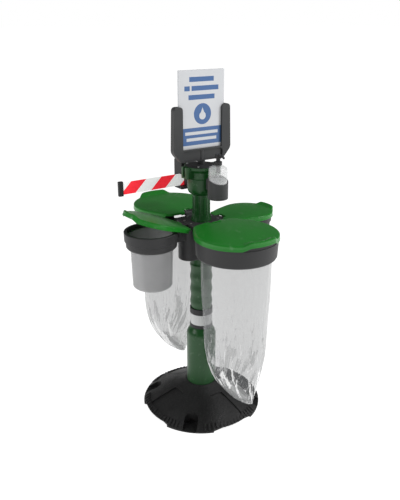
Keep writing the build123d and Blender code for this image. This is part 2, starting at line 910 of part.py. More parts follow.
z_arm = z_holder + holder_height
rim_half = panel_width / 2 + panel_gap
recess_half = window_half + 4
with BuildPart() as sign_holder:
    with BuildSketch(Plane.XZ.offset(-holder_depth / 2)):
        with BuildLine():
            Polyline(
                (-holder_half + 34, z_holder),
                (holder_half - 34, z_holder),
                (holder_half, z_holder + 40),
                (holder_top_half, z_arm),
                (window_half, z_arm),
                (window_half, z_lip),
                (-window_half, z_lip),
                (-window_half, z_arm),
                (-holder_top_half, z_arm),
                (-holder_half, z_holder + 40),
                close=True,
            )
        make_face()
    extrude(amount=holder_depth)
    uprights = sign_holder.edges().filter_by(Axis.Y)
    fillet(uprights.group_by(Axis.Z)[0] + uprights.group_by(Axis.Z)[1], radius=30)
    tops = sign_holder.edges().filter_by(Axis.Y).group_by(Axis.Z)[-1]
    fillet(tops, radius=14)
    # slot for the panel, recessed plate and the pole's bore
    with BuildSketch(Plane.XY.offset(z_lip - panel_tail - panel_gap)):
        Rectangle(2 * rim_half, panel_thick + print_thick * 2 + 2 * panel_gap)
    extrude(amount=holder_height, mode=Mode.SUBTRACT)
    with BuildSketch(Plane.XZ.offset(holder_depth / 2)):
        with Locations((0, z_holder + holder_plate / 2 - 2)):
            RectangleRounded(2 * recess_half, holder_plate - 8, 10)
    extrude(amount=-7, mode=Mode.SUBTRACT)
    with BuildSketch(Plane.XY.offset(z_holder - 1)):
        Circle(pole_radius)
    extrude(amount=holder_plate - panel_tail - 1, mode=Mode.SUBTRACT)
save(sign_holder.part, "sign_holder")

z_panel = z_lip - panel_tail
with BuildPart() as sign_panel:
    with BuildSketch(Plane.XY.offset(z_panel)):
        Rectangle(panel_width, panel_thick)
    extrude(amount=panel_height + panel_tail)
    fillet(sign_panel.edges().filter_by(Axis.Y).group_by(Axis.Z)[-1], radius=4)
save(sign_panel.part, "sign_panel")

with BuildPart() as sign_print:
    with BuildSketch(Plane.XZ.offset(panel_thick / 2)):
        with Locations((0, z_lip + panel_height / 2)):
            Rectangle(panel_width - 3, panel_height - 3)
    extrude(amount=print_thick)
save(sign_print.part, "sign_print")

# ---------------------------------------------------------------- bottle and its bracket
bottle_axis = standing_axis(front, bottle_reach)
with BuildPart() as bottle_bracket:
    outer = bottle_radius + bottle_gap + holder_wall
    with BuildSketch(flat(front, z_cup)):
        with Locations((bottle_reach, 0)):
            Circle(outer)
    extrude(amount=bracket_back)
    fillet(bottle_bracket.faces().sort_by(Axis.Z)[0].edges(), radius=3)
    with BuildSketch(flat(front, z_cup + 26)):
        with Locations(((head_radius + bottle_reach - outer) / 2, 0)):
            Rectangle(bottle_reach - outer - head_radius + 34, 28)
    extrude(amount=42)
    with BuildSketch(flat(front, z_cup + holder_floor)):
        with Locations((bottle_reach, 0)):
            Circle(bottle_radius + bottle_gap)
    extrude(amount=200, mode=Mode.SUBTRACT)
    with BuildSketch(flat(front, z_cup)):
        Circle(head_radius + sleeve_gap)
    extrude(amount=200, mode=Mode.SUBTRACT)
    with BuildSketch(facing(front, head_radius)):
        with Locations(*[(0, z) for z in arm_screws[front]]):
            Circle(screw_shank)
    extrude(amount=14, mode=Mode.SUBTRACT)
    # the rim slopes down to the front
    with BuildSketch(upright(front)):
        with BuildLine():
            Polyline(
                (bottle_reach - outer + 12, z_cup + bracket_back + 1),
                (bottle_reach + outer + 2, z_cup + bracket_front),
                (bottle_reach + outer + 2, z_cup + bracket_back + 20),
                (bottle_reach - outer + 12, z_cup + bracket_back + 20),
                close=True,
            )
        make_face()
    extrude(amount=100, both=True, mode=Mode.SUBTRACT)
save(bottle_bracket.part, "bottle_bracket")

z_bottle = z_cup + holder_floor + 0.3
z_shoulder_b = z_bottle + bottle_height
z_neck_b = z_shoulder_b + 18
with BuildPart() as bottle:
    with BuildSketch(upright(front, bottle_reach)):
        with BuildLine():
            Line((0, z_bottle), (bottle_radius, z_bottle))
            Line((bottle_radius, z_bottle), (bottle_radius, z_shoulder_b))
            Spline(
                (bottle_radius, z_shoulder_b),
                (neck_bore + bottle_wall, z_neck_b),
                tangents=((0, 1), (-1, 0.35)),
            )
            Polyline(
                (neck_bore + bottle_wall, z_neck_b),
                (neck_bore + bottle_wall, z_neck_b + 12),
                (neck_bore, z_neck_b + 12),
                (neck_bore, z_neck_b - 1),
            )
            Spline(
                (neck_bore, z_neck_b - 1),
                (bottle_radius - bottle_wall, z_shoulder_b - 1),
                tangents=((1, -0.35), (0, -1)),
            )
            Polyline(
                (bottle_radius - bottle_wall, z_shoulder_b - 1),
                (bottle_radius - bottle_wall, z_bottle + bottle_wall),
                (0, z_bottle + bottle_wall),
                (0, z_bottle),
            )
        make_face()
    revolve(axis=bottle_axis)
save(bottle.part, "bottle")

tube_outer = 2.5
with BuildPart() as bottle_gel:
    with BuildSketch(flat(front, z_bottle + bottle_wall + 0.2)):
        with Locations((bottle_reach, 0)):
            Circle(bottle_radius - bottle_wall - 0.2)
            Circle(tube_outer + 0.2, mode=Mode.SUBTRACT)
    extrude(amount=bottle_height * 0.62)
save(bottle_gel.part, "bottle_gel")

chamber_radius = 8
with BuildPart() as dip_tube:
    with BuildSketch(flat(front, z_bottle + bottle_wall + 4)):
        with Locations((bottle_reach, 0)):
            Circle(tube_outer)
            Circle(tube_outer - 0.8, mode=Mode.SUBTRACT)
    extrude(amount=z_neck_b - 30 - z_bottle - bottle_wall - 4)
save(dip_tube.part, "dip_tube")

# collar screwed on the neck, with the pump's chamber hanging in the bottle
z_collar = z_neck_b + 13
stem_radius = 3.5
post_of_pump = 8
with BuildPart() as pump_collar:
    with BuildSketch(upright(front, bottle_reach)):
        with BuildLine():
            Polyline(
                (tube_outer, z_neck_b - 30),
                (chamber_radius, z_neck_b - 30),
                (chamber_radius, z_neck_b + 12.2),
                (neck_bore + bottle_wall + 0.1, z_neck_b + 12.2),
                (neck_bore + bottle_wall + 0.1, z_neck_b + 1),
                (neck_bore + bottle_wall + 3, z_neck_b + 1),
                (neck_bore + bottle_wall + 3, z_collar + 1),
                (post_of_pump, z_collar + 3),
                (post_of_pump, z_collar + 3 + collar_top_gap),
                (stem_radius + 0.1, z_collar + 3 + collar_top_gap),
                (stem_radius + 0.1, z_collar),
                (chamber_radius - 1.5, z_collar - 2),
                (chamber_radius - 1.5, z_neck_b - 26),
                (tube_outer, z_neck_b - 26),
                close=True,
            )
        make_face()
    revolve(axis=bottle_axis)
save(pump_collar.part, "pump_collar")

z_skirt = z_collar + 3 + pump_travel + 0.5
z_pump_top = z_skirt + 16
with BuildPart() as pump_head:
    with BuildSketch(upright(front, bottle_reach)):
        with BuildLine():
            Polyline(
                (0, z_neck_b - 6),
                (stem_radius, z_neck_b - 6),
                (stem_radius, z_collar + 3 + collar_top_gap + 10),
                (post_of_pump + 0.4, z_collar + 3 + collar_top_gap + 10),
                (post_of_pump + 0.4, z_skirt),
                (12, z_skirt),
                (11, z_pump_top - 2),
                (9, z_pump_top),
                (0, z_pump_top),
                close=True,
            )
        make_face()
    revolve(axis=bottle_axis)
    with BuildSketch(upright(front, bottle_reach)):
        with BuildLine():
            Polyline(
                (6, z_pump_top - 1),
                (nozzle_reach - 6, z_pump_top - 3),
                (nozzle_reach, z_pump_top - 8),
                (nozzle_reach, z_pump_top - 13),
                (nozzle_reach - 6, z_pump_top - 10),
                (9, z_pump_top - 9),
                close=True,
            )
        make_face()
    extrude(amount=3.5, both=True)
save(pump_head.part, "pump_head")

# return spring in the pump's chamber: turns stacked as rings
spring_top = z_neck_b - 6.4
with BuildPart() as pump_spring:
    with BuildSketch(upright(front, bottle_reach)):
        with Locations((4.6, (spring_top + z_neck_b - 25.6) / 2)):
            Rectangle(1.2, spring_top - z_neck_b + 25.6)
    revolve(axis=bottle_axis)
save(pump_spring.part, "pump_spring")

# ---------------------------------------------------------------- belt cassette
z_belt = z_belt_top - belt_width
spool_x = 6
spool_y = belt_reach + roll_radius
case_front = belt_reach - 24
case_back = spool_y + roll_radius + 5
case_mid = (case_front + case_back) / 2
case_deep = case_back - case_front
z_case = z_belt - 2
z_case_top = z_belt_top + 2 + jaw_high - 4
chamber = roll_radius + 2.5
with BuildPart() as belt_case:
    with BuildSketch(Plane.XY.offset(z_case)):
        with Locations((0, case_mid)):
            RectangleRounded(2 * case_half, case_deep, 6)
        with Locations((spool_x, spool_y)):
            Circle(chamber, mode=Mode.SUBTRACT)
    extrude(amount=z_case_top - z_case)
    # floor between spool and spring, with a way for the spool's arbor
    with BuildSketch(Plane.XY.offset(z_belt_top + 2)):
        with Locations((spool_x, spool_y)):
            Circle(chamber)
            Circle(spool_core + 0.5, mode=Mode.SUBTRACT)
    extrude(amount=4)
    # open corner where the belt leaves
    with BuildSketch(Plane.XY.offset(z_case)):
        with Locations((-case_half, case_front + 14)):
            Rectangle(2 * case_half - 14, 56)
        with Locations((-case_half / 2, belt_reach)):
            Rectangle(case_half + 16, 7)
    extrude(amount=belt_width + 4, mode=Mode.SUBTRACT)
    # arm to the head
    with BuildSketch(Plane.XY.offset(z_belt_top + 4)):
        with Locations((0, (case_front + head_radius - 14) / 2)):
            Rectangle(30, case_front - head_radius + 14)
    extrude(amount=28)
    with BuildSketch(Plane.XY.offset(z_belt - 10)):
        Circle(head_radius + sleeve_gap)
    extrude(amount=z_cap + 40 - z_belt, mode=Mode.SUBTRACT)
    with BuildSketch(facing(back, head_radius)):
        with Locations(*[(0, z) for z in arm_screws[back]]):
            Circle(screw_shank)
    extrude(amount=14, mode=Mode.SUBTRACT)
save(belt_case.part, "belt_case")

with BuildPart() as belt_case_lid:
    with BuildSketch(Plane.XY.offset(z_case_top)):
        with Locations((0, case_mid)):
            RectangleRounded(2 * case_half, case_deep, 6)
    extrude(amount=4)
    fillet(belt_case_lid.faces().sort_by(Axis.Z)[-1].edges(), radius=2)
save(belt_case_lid.part, "belt_case_lid")

with BuildPart() as belt_case_floor:
    with BuildSketch(Plane.XY.offset(z_case - jaw_low)):
        with Locations((0, case_mid)):
            RectangleRounded(2 * case_half, case_deep, 6)
        with Locations((spool_x, spool_y)):
            Circle(shaft_radius, mode=Mode.SUBTRACT)
    extrude(amount=jaw_low)
save(belt_case_floor.part, "belt_case_floor")

screw_inset = 6
case_side = case_half - screw_inset
case_screw_spots = (
    (case_side, case_back - screw_inset),
    (-case_side, case_back - screw_inset),
    (case_side, case_front + screw_inset),
)
with BuildPart() as case_screws:
    with BuildSketch(Plane.XY.offset(z_case_top + 4)):
        with Locations(*case_screw_spots):
            Circle(3.2)
            RegularPolygon(1.6, 6, mode=Mode.SUBTRACT)
    extrude(amount=1.6)
save(case_screws.part, "case_screws")

with BuildPart() as spool_shaft:
    with BuildSketch(Plane.XY.offset(z_case - jaw_low)):
        with Locations((spool_x, spool_y)):
            Circle(shaft_radius)
    extrude(amount=z_case_top - z_case + jaw_low)
save(spool_shaft.part, "spool_shaft")

arbor_radius = 5
spring_floor = z_belt_top + 6 + 1
spring_height = 14
with BuildPart() as belt_spool:
    with BuildSketch(Plane.XY.offset(z_belt - 1.5)):
        with Locations((spool_x, spool_y)):
            Circle(spool_core)
    extrude(amount=belt_width + 3)
    with BuildSketch(Plane.XY.offset(z_belt - 1.5)):
        with Locations((spool_x, spool_y)):
            Circle(roll_radius + 1)
    extrude(amount=1.2)
    with BuildSketch(Plane.XY.offset(z_belt_top + 0.3)):
        with Locations((spool_x, spool_y)):
            Circle(roll_radius + 1)
    extrude(amount=1.2)
    with BuildSketch(Plane.XY.offset(z_belt_top + 1)):
        with Locations((spool_x, spool_y)):
            Circle(arbor_radius)
    extrude(amount=spring_floor + spring_height - z_belt_top - 1)
    with BuildSketch(Plane.XY.offset(z_belt - 10)):
        with Locations((spool_x, spool_y)):
            Circle(shaft_radius + shaft_gap)
    extrude(amount=200, mode=Mode.SUBTRACT)
save(belt_spool.part, "belt_spool")

with BuildPart() as belt_roll:
    with BuildSketch(Plane.XY.offset(z_belt)):
        with Locations((spool_x, spool_y)):
            Circle(roll_radius - 0.4)
            Circle(spool_core + 0.1, mode=Mode.SUBTRACT)
    extrude(amount=belt_width)
save(belt_roll.part, "belt_roll")

# flat spring made of half turns that grow outwards
strip = 0.8
half_turns = 7
with BuildPart() as belt_spring:
    with BuildSketch(Plane.XY.offset(spring_floor)):
        first = arbor_radius + 0.3 + strip
        step = (chamber - 1 - first) / (half_turns + 1)
        for turn in range(half_turns):
            r = first + turn * step
            x = spool_x + (step if turn % 2 else 0)
            y = r if turn % 2 == 0 else -r
            inner_y = y * (r - strip) / r
            with BuildLine():
                ThreePointArc((x + r, spool_y), (x, spool_y + y), (x - r, spool_y))
                Line((x - r, spool_y), (x - r + strip, spool_y))
                ThreePointArc(
                    (x - r + strip, spool_y),
                    (x, spool_y + inner_y),
                    (x + r - strip, spool_y),
                )
                Line((x + r - strip, spool_y), (x + r, spool_y))
            make_face()
    extrude(amount=spring_height)
save(belt_spring.part, "belt_spring")

with BuildPart() as belt_tape:
    with BuildSketch(Plane.XY.offset(z_belt)):
        with Locations(((spool_x - belt_out + 0.3) / 2, belt_reach - belt_thick / 2)):
            Rectangle(belt_out + spool_x - 0.3, belt_thick)
    extrude(amount=belt_width)
save(belt_tape.part, "belt_tape")

with BuildPart() as belt_clip:
    with BuildSketch(Plane.XY.offset(z_belt + belt_width / 2 - clip_height / 2)):
        with Locations((-belt_out - clip_width / 2, belt_reach - belt_thick / 2)):
            Rectangle(clip_width, clip_depth)
    extrude(amount=clip_height)
    fillet(belt_clip.edges().filter_by(Axis.Z), radius=4)
    fillet(belt_clip.faces().sort_by(Axis.Z)[-1].edges(), radius=1.5)
save(belt_clip.part, "belt_clip")
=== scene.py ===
import math

import bpy
from mathutils import Euler, Matrix, Vector, noise
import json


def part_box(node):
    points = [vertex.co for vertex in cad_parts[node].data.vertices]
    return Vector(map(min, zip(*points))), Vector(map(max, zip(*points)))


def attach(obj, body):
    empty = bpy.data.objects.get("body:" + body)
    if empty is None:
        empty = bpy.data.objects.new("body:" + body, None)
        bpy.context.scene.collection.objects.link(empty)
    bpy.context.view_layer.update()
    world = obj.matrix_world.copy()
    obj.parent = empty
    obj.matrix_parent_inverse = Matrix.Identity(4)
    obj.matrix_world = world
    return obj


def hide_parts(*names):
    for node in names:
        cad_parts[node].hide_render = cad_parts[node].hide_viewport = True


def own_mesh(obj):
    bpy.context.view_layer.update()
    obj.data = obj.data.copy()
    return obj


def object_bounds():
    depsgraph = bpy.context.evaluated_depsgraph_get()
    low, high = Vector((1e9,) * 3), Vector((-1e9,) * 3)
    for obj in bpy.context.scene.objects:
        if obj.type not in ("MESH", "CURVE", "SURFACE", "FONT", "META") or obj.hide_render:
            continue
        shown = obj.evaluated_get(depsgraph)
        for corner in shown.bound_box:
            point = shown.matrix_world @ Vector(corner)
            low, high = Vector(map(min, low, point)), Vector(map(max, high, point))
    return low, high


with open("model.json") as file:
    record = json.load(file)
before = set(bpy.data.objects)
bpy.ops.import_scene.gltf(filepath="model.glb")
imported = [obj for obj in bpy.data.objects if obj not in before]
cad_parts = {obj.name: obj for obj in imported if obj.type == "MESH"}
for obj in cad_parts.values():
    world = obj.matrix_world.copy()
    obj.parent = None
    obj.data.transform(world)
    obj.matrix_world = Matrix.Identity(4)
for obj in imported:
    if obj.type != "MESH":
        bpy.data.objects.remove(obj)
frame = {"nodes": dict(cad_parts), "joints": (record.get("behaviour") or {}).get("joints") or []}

nodes = frame["nodes"]
cad_low, cad_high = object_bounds()
bpy.ops.object.select_all(action="DESELECT")


# ------------------------------------------------------------------ the studio
# A pale floor runs out past the view under an even white sky. One large soft lamp stands high on
# the right and a weaker one on the left, so that round surfaces shade gently from side to side.
bpy.ops.mesh.primitive_plane_add(size=400)
floor = bpy.context.object
floor.name = "studio_floor"
floor_finish = bpy.data.materials.new("studio_floor_paint")
floor_finish.use_nodes = True
floor_shader = floor_finish.node_tree.nodes["Principled BSDF"]
floor_shader.inputs["Base Color"].default_value = (0.5, 0.5, 0.5, 1)
floor_shader.inputs["Roughness"].default_value = 0.9
floor_shader.inputs["Emission Color"].default_value = (1, 1, 1, 1)
floor_shader.inputs["Emission Strength"].default_value = 0.86
floor.data.materials.append(floor_finish)

sky = bpy.data.worlds.new("studio_sky")
sky.use_nodes = True
sky_tree = sky.node_tree
seen = sky_tree.nodes["Background"]
seen.inputs["Color"].default_value = (1, 1, 1, 1)
ray = sky_tree.nodes.new("ShaderNodeLightPath")
dimmed = sky_tree.nodes.new("ShaderNodeMapRange")  # mirrored in a shiny surface, the sky is dimmer
dimmed.inputs["To Min"].default_value = 0.34
dimmed.inputs["To Max"].default_value = 0.13
sky_tree.links.new(ray.outputs["Is Glossy Ray"], dimmed.inputs["Value"])
strength = sky_tree.nodes.new("ShaderNodeMapRange")
strength.inputs["To Max"].default_value = 1.0
sky_tree.links.new(dimmed.outputs["Result"], strength.inputs["To Min"])
sky_tree.links.new(ray.outputs["Is Camera Ray"], strength.inputs["Value"])
sky_tree.links.new(strength.outputs["Result"], seen.inputs["Strength"])
bpy.context.scene.world = sky
bpy.context.scene.view_settings.view_transform = "Standard"


def soft_lamp(name, place, aim, width, power):
    """A square area lamp, turned to face a point."""
    bpy.ops.object.light_add(type="AREA", location=place)
    lamp = bpy.context.object
    lamp.name = name
    lamp.data.size = width
    lamp.data.energy = power
    lamp.rotation_euler = (Vector(aim) - Vector(place)).to_track_quat("-Z", "Y").to_euler()


post_middle = (0, 0, (cad_low.z + cad_high.z) / 2)
soft_lamp("key_lamp", (2.3, -2.2, 3.0), post_middle, 1.3, 85)
soft_lamp("left_lamp", (-3.0, 0.6, 2.4), post_middle, 1.2, 30)

camera_tilt = math.radians(20.8)
camera_turn = math.radians(-33.8)
camera_data = bpy.data.cameras.new("camera")
camera_data.lens = 43.2
camera_data.sensor_width = 36
camera_data.shift_x = -0.0024
camera_data.clip_end = 500
camera = bpy.data.objects.new("camera", camera_data)
camera.location = (-1.311, -1.958, 1.6246)
camera.rotation_euler = Euler((math.pi / 2 - camera_tilt, 0, camera_turn), "XYZ")
bpy.context.scene.collection.objects.link(camera)
bpy.context.scene.camera = camera


# ------------------------------------------------------------------ the foot
# A round moulded foot of black recycled rubber, with a steel disc sunk in its underside. Radial
# teeth stand on its edge between four finger grips, and the post stands in a seat in its top.
class Wire:
    """A socket in a material's node tree. Arithmetic on it adds Math nodes."""

    def __init__(self, tree, socket=None):
        self.tree = tree
        self.socket = socket

    def node(self, kind, settings=None, inputs=None, output=0):
        """Adds a node: settings are its own properties, inputs the values or wires of its sockets."""
        made = self.tree.nodes.new(kind)
        for name, value in (settings or {}).items():
            setattr(made, name, value)
        for name, value in (inputs or {}).items():
            if isinstance(value, Wire):
                self.tree.links.new(value.socket, made.inputs[name])
            else:
                made.inputs[name].default_value = value
        return Wire(self.tree, made.outputs[output])

    def math(self, operation, *values):
        return self.node("ShaderNodeMath", {"operation": operation}, dict(enumerate(values)))

    def __add__(self, other):
        return self.math("ADD", self, other)

    def __sub__(self, other):
        return self.math("SUBTRACT", self, other)

    def __rsub__(self, other):
        return self.math("SUBTRACT", other, self)

    def __mul__(self, other):
        return self.math("MULTIPLY", self, other)

    def __truediv__(self, other):
        return self.math("DIVIDE", self, other)

    def __pow__(self, other):
        return self.math("POWER", self, other)

    def __gt__(self, other):
        return self.math("GREATER_THAN", self, other)

    def __lt__(self, other):
        return self.math("LESS_THAN", self, other)

    def __mod__(self, other):
        return self.math("FLOORED_MODULO", self, other)

    def __abs__(self):
        return self.math("ABSOLUTE", self)

    __radd__ = __add__
    __rmul__ = __mul__

    def least(self, other):
        return self.math("MINIMUM", self, other)

    def most(self, other):
        return self.math("MAXIMUM", self, other)

    def blend(self, low, high):
        """A colour between low, where this wire is 0, and high, where it is 1."""
        low = low if isinstance(low, Wire) else (*low, 1)
        high = high if isinstance(high, Wire) else (*high, 1)
        return self.node("ShaderNodeMix", {"data_type": "RGBA"}, {0: self, 6: low, 7: high}, 2)

    def between(self, low, high):
        """0 below low, 1 above high and smooth from one to the other."""
        settings = {"interpolation_type": "SMOOTHSTEP"}
        return self.node("ShaderNodeMapRange", settings, {0: self, 1: low, 2: high, 3: 0.0, 4: 1.0})


class Finish:
    """A material with one shader, whose plain values are set on its own sockets."""

    def __init__(self, name, **plain):
        self.material = bpy.data.materials.new(name)
        self.material.use_nodes = True
        self.tree = self.material.node_tree
        self.shader = self.tree.nodes["Principled BSDF"]
        for socket, value in plain.items():
            self.shader.inputs[socket.replace("_", " ")].default_value = value
        self.place = Wire(self.tree).node("ShaderNodeTexCoord", output="Object")
        self.x, self.y, self.z = (self.axis(self.place, number) for number in range(3))

    def axis(self, vector, number):
        return vector.node("ShaderNodeSeparateXYZ", None, {0: vector}, number)

    def noise(self, scale, detail=3.0, roughness=0.5):
        sockets = {"Vector": self.place, "Scale": scale, "Detail": detail, "Roughness": roughness}
        return self.place.node("ShaderNodeTexNoise", None, sockets)

    def cells(self, scale, output="Distance"):
        sockets = {"Vector": self.place, "Scale": scale}
        return self.place.node("ShaderNodeTexVoronoi", None, sockets, output)

    def upward(self):
        """How far a surface faces up, from -1 to 1."""
        return self.axis(self.place.node("ShaderNodeNewGeometry", output="Normal"), 2)

    def feed(self, **wires):
        for socket, wire in wires.items():
            self.tree.links.new(wire.socket, self.shader.inputs[socket.replace("_", " ")])

    def relief(self, height, depth):
        """Bump whose height is in metres once it is multiplied by depth."""
        sockets = {"Height": height, "Distance": depth}
        self.feed(Normal=height.node("ShaderNodeBump", None, sockets))

    def on(self, *names):
        """Gives this finish to CAD nodes."""
        for name in names:
            nodes[name].data.materials.clear()
            nodes[name].data.materials.append(self.material)


foot_rubber = Finish("foot_rubber", Specular_IOR_Level=0.35)
granules = foot_rubber.cells(420)
worn = foot_rubber.noise(14, 5).between(0.48, 0.68)
dusty = foot_rubber.upward().between(0.2, 0.95) * foot_rubber.noise(160, 6).between(0.3, 0.75)
crumb = foot_rubber.cells(420, output="Color").blend((0.008, 0.008, 0.008), (0.015, 0.015, 0.0155))
rubbed_crumb = (worn * 0.4).blend(crumb, (0.018, 0.018, 0.0185))
foot_rubber.feed(
    Base_Color=(dusty * 0.35).blend(rubbed_crumb, (0.030, 0.030, 0.031)),
    Roughness=0.36 + 0.2 * granules + 0.12 * worn,
)
foot_rubber.relief(granules * 0.6 + foot_rubber.noise(160, 4) * 0.8, 0.0011)
foot_rubber.on("base")

foot_edge = max(point.co.xy.length for point in nodes["base"].data.vertices)
tooth_step = math.radians(4)
tooth_wide = 0.0085
tooth_high = 0.009
tooth_round = 0.16  # a tooth's rounded edges, as a share of its width
tooth_start = 0.030  # from the foot's edge in to a tooth's inner end
tooth_ends = [foot_edge - 0.001 * step for step in range(4, 20)]  # the outermost on the top is used
grip_zone = math.radians(13)  # no teeth this near to the middle of a finger grip
above_foot = 0.3
bpy.ops.mesh.primitive_cube_add(size=1)
tooth = bpy.context.object
tooth.name = "foot_teeth"
bpy.ops.object.mode_set(mode="EDIT")
bpy.ops.mesh.select_all(action="SELECT")
bpy.ops.mesh.bevel(offset=tooth_round, segments=2)
bpy.ops.object.mode_set(mode="OBJECT")


def foot_top(along, turn):
    """The foot's upper surface at a place given by its distance and direction from the post."""
    start = Vector((along * math.cos(turn), along * math.sin(turn), above_foot))
    hit, spot, _, _ = nodes["base"].ray_cast(start, Vector((0, 0, -1)))
    return spot if hit else None


teeth = []
for number in range(round(2 * math.pi / tooth_step)):
    turn = number * tooth_step
    to_grip = abs((turn - math.pi / 4) % (math.pi / 2))
    to_grip = min(to_grip, math.pi / 2 - to_grip)
    inner = foot_top(foot_edge - tooth_start, turn)
    outer = next((spot for spot in (foot_top(end, turn) for end in tooth_ends) if spot), None)
    if to_grip < grip_zone or inner is None or outer is None:
        continue
    bpy.ops.object.select_all(action="DESELECT")
    tooth.select_set(True)
    bpy.context.view_layer.objects.active = tooth
    bpy.ops.object.duplicate()
    copy = bpy.context.object
    side_step = Vector((-math.sin(turn), math.cos(turn), 0)) * tooth_wide
    run = outer - inner
    lift = run.cross(side_step).normalized() * tooth_high
    if lift.z < 0:
        lift = -lift
    middle = (inner + outer) / 2
    for point in copy.data.vertices:
        point.co = middle + run * point.co.x + side_step * point.co.y + lift * point.co.z
    teeth.append(copy)
bpy.data.objects.remove(tooth)
bpy.ops.object.select_all(action="DESELECT")
for copy in teeth:
    copy.select_set(True)
foot_teeth = teeth[0]
bpy.context.view_layer.objects.active = foot_teeth
bpy.ops.object.join()
foot_teeth.name = "foot_teeth"
bpy.ops.object.shade_smooth_by_angle(angle=math.radians(35))
foot_teeth.data.materials.append(foot_rubber.material)
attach(foot_teeth, "station")
bpy.ops.object.select_all(action="DESELECT")

plated_steel = Finish("plated_steel", Metallic=1.0)
spangle = plated_steel.cells(260, output="Color")
plated_steel.feed(
    Base_Color=plated_steel.noise(60, 4).blend((0.50, 0.51, 0.52), (0.62, 0.62, 0.61)),
    Roughness=0.26 + 0.16 * plated_steel.noise(900, 2) + 0.06 * spangle,
)
plated_steel.relief(plated_steel.noise(700, 3), 0.00008)
plated_steel.on(
    "foot_plate", "core_tube", "core_nut", "hinge_pins", "deck_screws", "ring_screws", "bracket_screws",
    "cap_screws", "case_screws", "spool_shaft",
)


# ------------------------------------------------------------------ the post
# Hollow sections of green polyethylene slide over a steel tube: a plain one, and a corrugated one
# above two black collars that hold a sleeve of reflective film between them.
def moulded_green(name, deep, bright):
    """Satin polyethylene with the fine grain of its mould, a cloudy tone and handling marks."""
    green = Finish(name, Specular_IOR_Level=0.42)
    cloud = green.noise(11, 3)
    rubbed = green.noise(48, 6, 0.65).between(0.56, 0.74)
    green.feed(
        Base_Color=(rubbed * 0.22).blend(cloud.blend(deep, bright), (0.30, 0.42, 0.30)),
        Roughness=0.27 + 0.10 * green.noise(700, 2) + 0.10 * rubbed,
    )
    green.relief(green.noise(1300, 3) * 0.7 + green.noise(95, 2) * 1.2, 0.00014)
    return green


post_green = moulded_green("post_green", (0.005, 0.052, 0.009), (0.008, 0.075, 0.013))
post_green.on("post_lower", "post_corrugated", "column_upper", "head_barrel")


def moulded_black(name, deep, dust, grain=1100):
    """Black polypropylene from a spark-textured mould, greyer where it faces up and holds dust."""
    black = Finish(name, Specular_IOR_Level=0.40)
    settled = black.upward().between(0.3, 0.98) * black.noise(36, 5).between(0.25, 0.7)
    tone = black.noise(9, 3).blend(deep, tuple(1.35 * value for value in deep))
    black.feed(
        Base_Color=(settled * 0.6).blend(tone, dust),
        Roughness=0.42 + 0.16 * black.noise(grain, 2) + 0.12 * settled,
    )
    black.relief(black.noise(grain, 3), 0.00012)
    return black


hub_black = moulded_black("hub_black", (0.020, 0.020, 0.021), (0.055, 0.056, 0.058))
hub_black.on(
    "hub_body", "hub_deck", "ring_front", "ring_back", "ring_left", "ring_right", "clamp_band_front",
    "clamp_band_back",
)
fitting_black = moulded_black("fitting_black", (0.014, 0.014, 0.015), (0.045, 0.045, 0.047))
fitting_black.on(
    "lower_collar", "upper_collar", "head_cap", "belt_case", "belt_case_lid", "belt_case_floor",
    "belt_clip", "belt_spool", "pump_collar", "pump_head",
)

film_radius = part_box("reflective_band")[1].x
hexagon = 0.0042  # a cell of the film, from side to side
reflective_film = Finish(
    "reflective_film", Specular_IOR_Level=0.6, Coat_Weight=0.4, Coat_Roughness=0.12,
)
around_post = reflective_film.y.math("ARCTAN2", reflective_film.y, reflective_film.x) * film_radius
column = around_post / (hexagon * math.sqrt(3) / 2)
slant = abs((reflective_film.z / hexagon + (column * 0.5)) % 1.0 - 0.5)
other = abs((reflective_film.z / hexagon - (column * 0.5)) % 1.0 - 0.5)
upright = abs(column % 1.0 - 0.5)
netting = 1 - slant.least(other).least(upright).between(0.03, 0.09)
reflective_film.feed(
    Base_Color=netting.blend((0.50, 0.51, 0.50), (0.72, 0.73, 0.73)),
    Roughness=0.28 + 0.25 * netting,
)
reflective_film.relief(netting, 0.0001)
reflective_film.on("reflective_band")


# ------------------------------------------------------------------ lids
# Four domed lids of bright green polyethylene, each a petal that narrows to its hinge at the hub.
# The skirt rises into a raised thumb lip at the outer end, and two ears run on a steel pin.
def new_piece(name):
    """The primitive just added, under its piece's name, open for editing with all of it selected."""
    piece = bpy.context.object
    piece.name = name
    piece.data.name = name
    bpy.ops.object.transform_apply(location=True, rotation=True, scale=True)
    bpy.ops.object.mode_set(mode="EDIT")
    bpy.ops.mesh.select_all(action="SELECT")
    return piece


def pick(piece, kind, test):
    """Selects the VERTs, EDGEs or FACEs of a piece whose middle passes a test."""
    bpy.ops.object.mode_set(mode="EDIT")
    bpy.ops.mesh.select_mode(type=kind)
    bpy.ops.mesh.select_all(action="DESELECT")
    bpy.ops.object.mode_set(mode="OBJECT")
    points = piece.data.vertices
    if kind == "VERT":
        for point in points:
            point.select = test(point.co)
    elif kind == "EDGE":
        for edge in piece.data.edges:
            edge.select = test((points[edge.vertices[0]].co + points[edge.vertices[1]].co) / 2)
    else:
        for face in piece.data.polygons:
            face.select = test(face.center)
    bpy.ops.object.mode_set(mode="EDIT")


def reshape(piece, place):
    """Moves each point of a piece to where place says."""
    bpy.ops.object.mode_set(mode="OBJECT")
    for point in piece.data.vertices:
        point.co = place(point.co)
    piece.data.update()


def modify(piece, kind, **settings):
    """Adds a modifier and applies it."""
    bpy.context.view_layer.objects.active = piece
    added = piece.modifiers.new(kind.lower(), kind)
    for name, value in settings.items():
        setattr(added, name, value)
    bpy.ops.object.modifier_apply(modifier=added.name)


